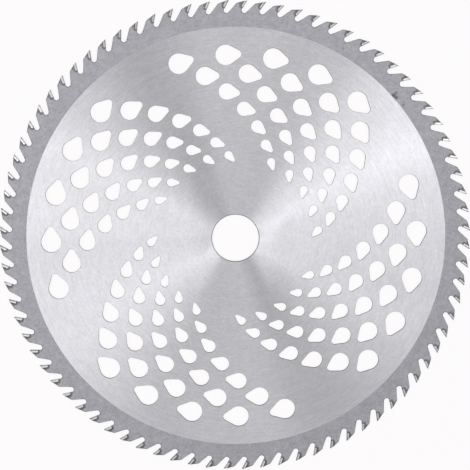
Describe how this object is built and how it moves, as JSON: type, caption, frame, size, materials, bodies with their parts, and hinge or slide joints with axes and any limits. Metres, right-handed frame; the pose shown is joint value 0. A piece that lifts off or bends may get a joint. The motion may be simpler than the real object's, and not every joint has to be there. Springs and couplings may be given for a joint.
{
  "type": "circular brush cutter blade",
  "caption": "Thin round brush cutter blade with a central bore, carbide-tipped rim teeth and four swept arms of teardrop holes that lighten the plate.",
  "frame": {"origin": "centre of the bore at the middle of the plate's thickness", "axes": "+Z along the bore, out of the face that shows in the picture; teeth point clockwise seen from +Z; +X is the picture's right"},
  "size_m": [0.2548, 0.2548, 0.0022],
  "materials": {
    "steel_plate": "circular brushed steel, with a matt blasted band inside the teeth",
    "carbide": "ground tungsten carbide",
    "braze": "dull dark braze"
  },
  "bodies": {
    "root": {"blade_plate": "steel_plate", "braze_joints": "braze", "tip_pair_01": "carbide", "tip_pair_02": "carbide", "tip_pair_03": "carbide", "tip_pair_04": "carbide", "tip_pair_05": "carbide", "tip_pair_06": "carbide", "tip_pair_07": "carbide", "tip_pair_08": "carbide", "tip_pair_09": "carbide", "tip_pair_10": "carbide", "tip_pair_11": "carbide", "tip_pair_12": "carbide", "tip_pair_13": "carbide", "tip_pair_14": "carbide", "tip_pair_15": "carbide", "tip_pair_16": "carbide", "tip_pair_17": "carbide", "tip_pair_18": "carbide", "tip_pair_19": "carbide", "tip_pair_20": "carbide", "tip_pair_21": "carbide", "tip_pair_22": "carbide", "tip_pair_23": "carbide", "tip_pair_24": "carbide", "tip_pair_25": "carbide", "tip_pair_26": "carbide", "tip_pair_27": "carbide", "tip_pair_28": "carbide", "tip_pair_29": "carbide", "tip_pair_30": "carbide", "tip_pair_31": "carbide", "tip_pair_32": "carbide", "tip_pair_33": "carbide", "tip_pair_34": "carbide", "tip_pair_35": "carbide", "tip_pair_36": "carbide", "tip_pair_37": "carbide", "tip_pair_38": "carbide", "tip_pair_39": "carbide", "tip_pair_40": "carbide"}
  },
  "joints": []
}
